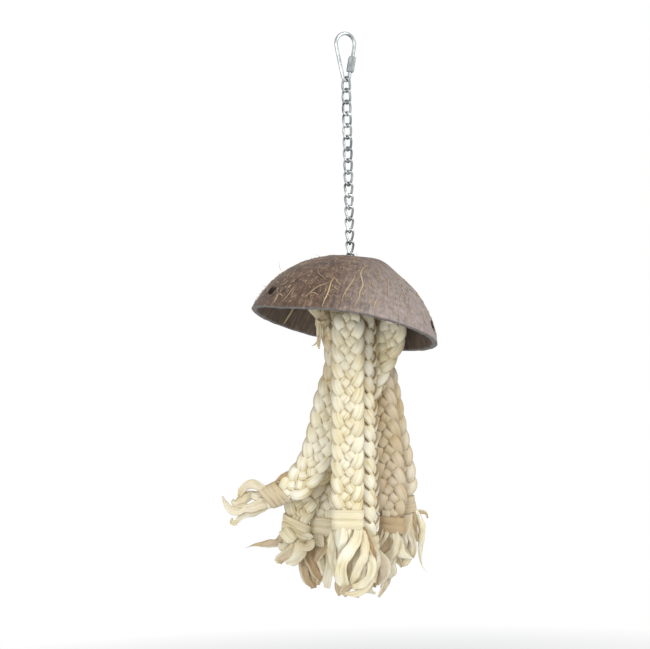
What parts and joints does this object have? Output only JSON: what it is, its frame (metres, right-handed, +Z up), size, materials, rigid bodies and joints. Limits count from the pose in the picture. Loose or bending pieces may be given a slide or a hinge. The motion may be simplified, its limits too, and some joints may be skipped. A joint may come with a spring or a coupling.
{
  "type": "hanging parrot chew toy",
  "caption": "Hanging bird toy: half a coconut shell on a twisted steel chain with a quick link, and flat braids of maize husk with tied, frayed ends below it",
  "frame": {"origin": "the inside of the top of the quick link, where it hangs on a bar", "axes": "+Z up along the chain, +X to the right and -Y towards the viewer of the picture"},
  "size_m": [0.146, 0.1183, 0.3626],
  "materials": {
    "plated_steel": "bright plated wire, slightly worn",
    "coconut": "scraped coconut shell, dull, with tan fibres",
    "husk": "dry pale maize husk, matt with fine ribs",
    "husk_tie": "dry maize husk strip, matt",
    "husk_twine": "twisted husk twine, matt"
  },
  "bodies": {
    "quick_link": {"quick_link": "plated_steel"},
    "nut": {"quick_link_nut": "plated_steel"},
    "link_01": {"chain_link_01": "plated_steel"},
    "link_02": {"chain_link_02": "plated_steel"},
    "link_03": {"chain_link_03": "plated_steel"},
    "link_04": {"chain_link_04": "plated_steel"},
    "link_05": {"chain_link_05": "plated_steel"},
    "link_06": {"chain_link_06": "plated_steel"},
    "link_07": {"chain_link_07": "plated_steel"},
    "link_08": {"chain_link_08": "plated_steel"},
    "link_09": {"chain_link_09": "plated_steel"},
    "link_10": {"chain_link_10": "plated_steel"},
    "link_11": {"chain_link_11": "plated_steel"},
    "link_12": {"chain_link_12": "plated_steel"},
    "link_13": {"chain_link_13": "plated_steel"},
    "link_14": {"chain_link_14": "plated_steel"},
    "link_15": {"chain_link_15": "plated_steel"},
    "link_16": {"chain_link_16": "plated_steel"},
    "ring": {"carrier_ring": "plated_steel", "hanger_left": "husk_twine", "hanger_front": "husk_twine", "hanger_right_front": "husk_twine", "hanger_right": "husk_twine", "hanger_right_rear": "husk_twine", "hanger_left_rear": "husk_twine", "hanger_rear": "husk_twine"},
    "shell": {"coconut_shell": "coconut"},
    "braid_left": {"braid_left": "husk", "neck_tie_left": "husk_tie", "end_tie_left": "husk_tie", "husk_ends_left": "husk"},
    "braid_front": {"braid_front": "husk", "neck_tie_front": "husk_tie", "end_tie_front": "husk_tie", "husk_ends_front": "husk"},
    "braid_right_front": {"braid_right_front": "husk", "neck_tie_right_front": "husk_tie", "end_tie_right_front": "husk_tie", "husk_ends_right_front": "husk"},
    "braid_right": {"braid_right": "husk", "neck_tie_right": "husk_tie", "end_tie_right": "husk_tie", "husk_ends_right": "husk"},
    "braid_right_rear": {"braid_right_rear": "husk", "neck_tie_right_rear": "husk_tie", "end_tie_right_rear": "husk_tie", "husk_ends_right_rear": "husk"},
    "braid_left_rear": {"braid_left_rear": "husk", "neck_tie_left_rear": "husk_tie", "end_tie_left_rear": "husk_tie", "husk_ends_left_rear": "husk"},
    "braid_rear": {"braid_rear": "husk", "neck_tie_rear": "husk_tie", "end_tie_rear": "husk_tie", "husk_ends_rear": "husk"}
  },
  "joints": [
    {"name": "nut_slide", "type": "slide", "parent": "quick_link", "child": "nut", "axis": [0.1892, 0.1137, 0.9753], "range_m": [0, 0.0042]},
    {"name": "swing_link_01", "type": "hinge", "parent": "quick_link", "child": "link_01", "pos_m": [0, 0, -0.0287], "axis": [0.8572, 0.515, 0], "range_deg": [-20, 20]},
    {"name": "swing_link_02", "type": "hinge", "parent": "link_01", "child": "link_02", "pos_m": [0, 0, -0.0339], "axis": [-0.5736, 0.8192, 0], "range_deg": [-20, 20]},
    {"name": "swing_link_03", "type": "hinge", "parent": "link_02", "child": "link_03", "pos_m": [0, 0, -0.04317], "axis": [-0.7771, -0.6293, 0], "range_deg": [-20, 20]},
    {"name": "swing_link_04", "type": "hinge", "parent": "link_03", "child": "link_04", "pos_m": [0, 0, -0.04872], "axis": [0.682, -0.7314, 0], "range_deg": [-20, 20]},
    {"name": "swing_link_05", "type": "hinge", "parent": "link_04", "child": "link_05", "pos_m": [0, 0, -0.05799], "axis": [0.682, 0.7314, 0], "range_deg": [-20, 20]},
    {"name": "swing_link_06", "type": "hinge", "parent": "link_05", "child": "link_06", "pos_m": [0, 0, -0.06354], "axis": [-0.7771, 0.6293, 0], "range_deg": [-20, 20]},
    {"name": "swing_link_07", "type": "hinge", "parent": "link_06", "child": "link_07", "pos_m": [0, 0, -0.07281], "axis": [-0.5736, -0.8192, 0], "range_deg": [-20, 20]},
    {"name": "swing_link_08", "type": "hinge", "parent": "link_07", "child": "link_08", "pos_m": [0, 0, -0.07836], "axis": [0.8572, -0.515, 0], "range_deg": [-20, 20]},
    {"name": "swing_link_09", "type": "hinge", "parent": "link_08", "child": "link_09", "pos_m": [0, 0, -0.08763], "axis": [0.454, 0.891, 0], "range_deg": [-20, 20]},
    {"name": "swing_link_10", "type": "hinge", "parent": "link_09", "child": "link_10", "pos_m": [0, 0, -0.09318], "axis": [-0.9205, 0.3907, 0], "range_deg": [-20, 20]},
    {"name": "swing_link_11", "type": "hinge", "parent": "link_10", "child": "link_11", "pos_m": [0, 0, -0.10245], "axis": [-0.3256, -0.9455, 0], "range_deg": [-20, 20]},
    {"name": "swing_link_12", "type": "hinge", "parent": "link_11", "child": "link_12", "pos_m": [0, 0, -0.108], "axis": [0.9659, -0.2588, 0], "range_deg": [-20, 20]},
    {"name": "swing_link_13", "type": "hinge", "parent": "link_12", "child": "link_13", "pos_m": [0, 0, -0.11727], "axis": [0.1908, 0.9816, 0], "range_deg": [-20, 20]},
    {"name": "swing_link_14", "type": "hinge", "parent": "link_13", "child": "link_14", "pos_m": [0, 0, -0.12282], "axis": [-0.9925, 0.1219, 0], "range_deg": [-20, 20]},
    {"name": "swing_link_15", "type": "hinge", "parent": "link_14", "child": "link_15", "pos_m": [0, 0, -0.13209], "axis": [-0.0523, -0.9986, 0], "range_deg": [-20, 20]},
    {"name": "swing_link_16", "type": "hinge", "parent": "link_15", "child": "link_16", "pos_m": [0, 0, -0.13764], "axis": [-0.9998, -0.0175, 0], "range_deg": [-12, 12]},
    {"name": "swing_ring", "type": "hinge", "parent": "link_16", "child": "ring", "pos_m": [0, 0, -0.1447], "axis": [0.9962, 0.0872, 0], "range_deg": [-4, 4]},
    {"name": "tilt_shell", "type": "hinge", "parent": "link_16", "child": "shell", "pos_m": [0, 0, -0.1417], "axis": [0, -1, 0], "range_deg": [-3, 10]},
    {"name": "swing_braid_left", "type": "hinge", "parent": "ring", "child": "braid_left", "pos_m": [-0.0225, -0.008, -0.1667], "axis": [0, 1, 0], "range_deg": [0, 15]},
    {"name": "swing_braid_front", "type": "hinge", "parent": "ring", "child": "braid_front", "pos_m": [0, -0.0105, -0.1677], "axis": [-1, 0, 0], "range_deg": [0, 15]},
    {"name": "swing_braid_right_front", "type": "hinge", "parent": "ring", "child": "braid_right_front", "pos_m": [0.0086, -0.0076, -0.1677], "axis": [0, -1, 0], "range_deg": [0, 15]},
    {"name": "swing_braid_right", "type": "hinge", "parent": "ring", "child": "braid_right", "pos_m": [0.0149, 0.0126, -0.1677], "axis": [0, -1, 0], "range_deg": [0, 15]},
    {"name": "swing_braid_right_rear", "type": "hinge", "parent": "ring", "child": "braid_right_rear", "pos_m": [0.0026, 0.0142, -0.1677], "axis": [0.8, -0.6, 0], "range_deg": [0, 8]},
    {"name": "swing_braid_left_rear", "type": "hinge", "parent": "ring", "child": "braid_left_rear", "pos_m": [0.0168, 0.0021, -0.1677], "axis": [0, 1, 0], "range_deg": [0, 11]},
    {"name": "swing_braid_rear", "type": "hinge", "parent": "ring", "child": "braid_rear", "pos_m": [-0.0094, 0.0086, -0.1677], "axis": [1, 0, 0], "range_deg": [0, 15]}
  ]
}
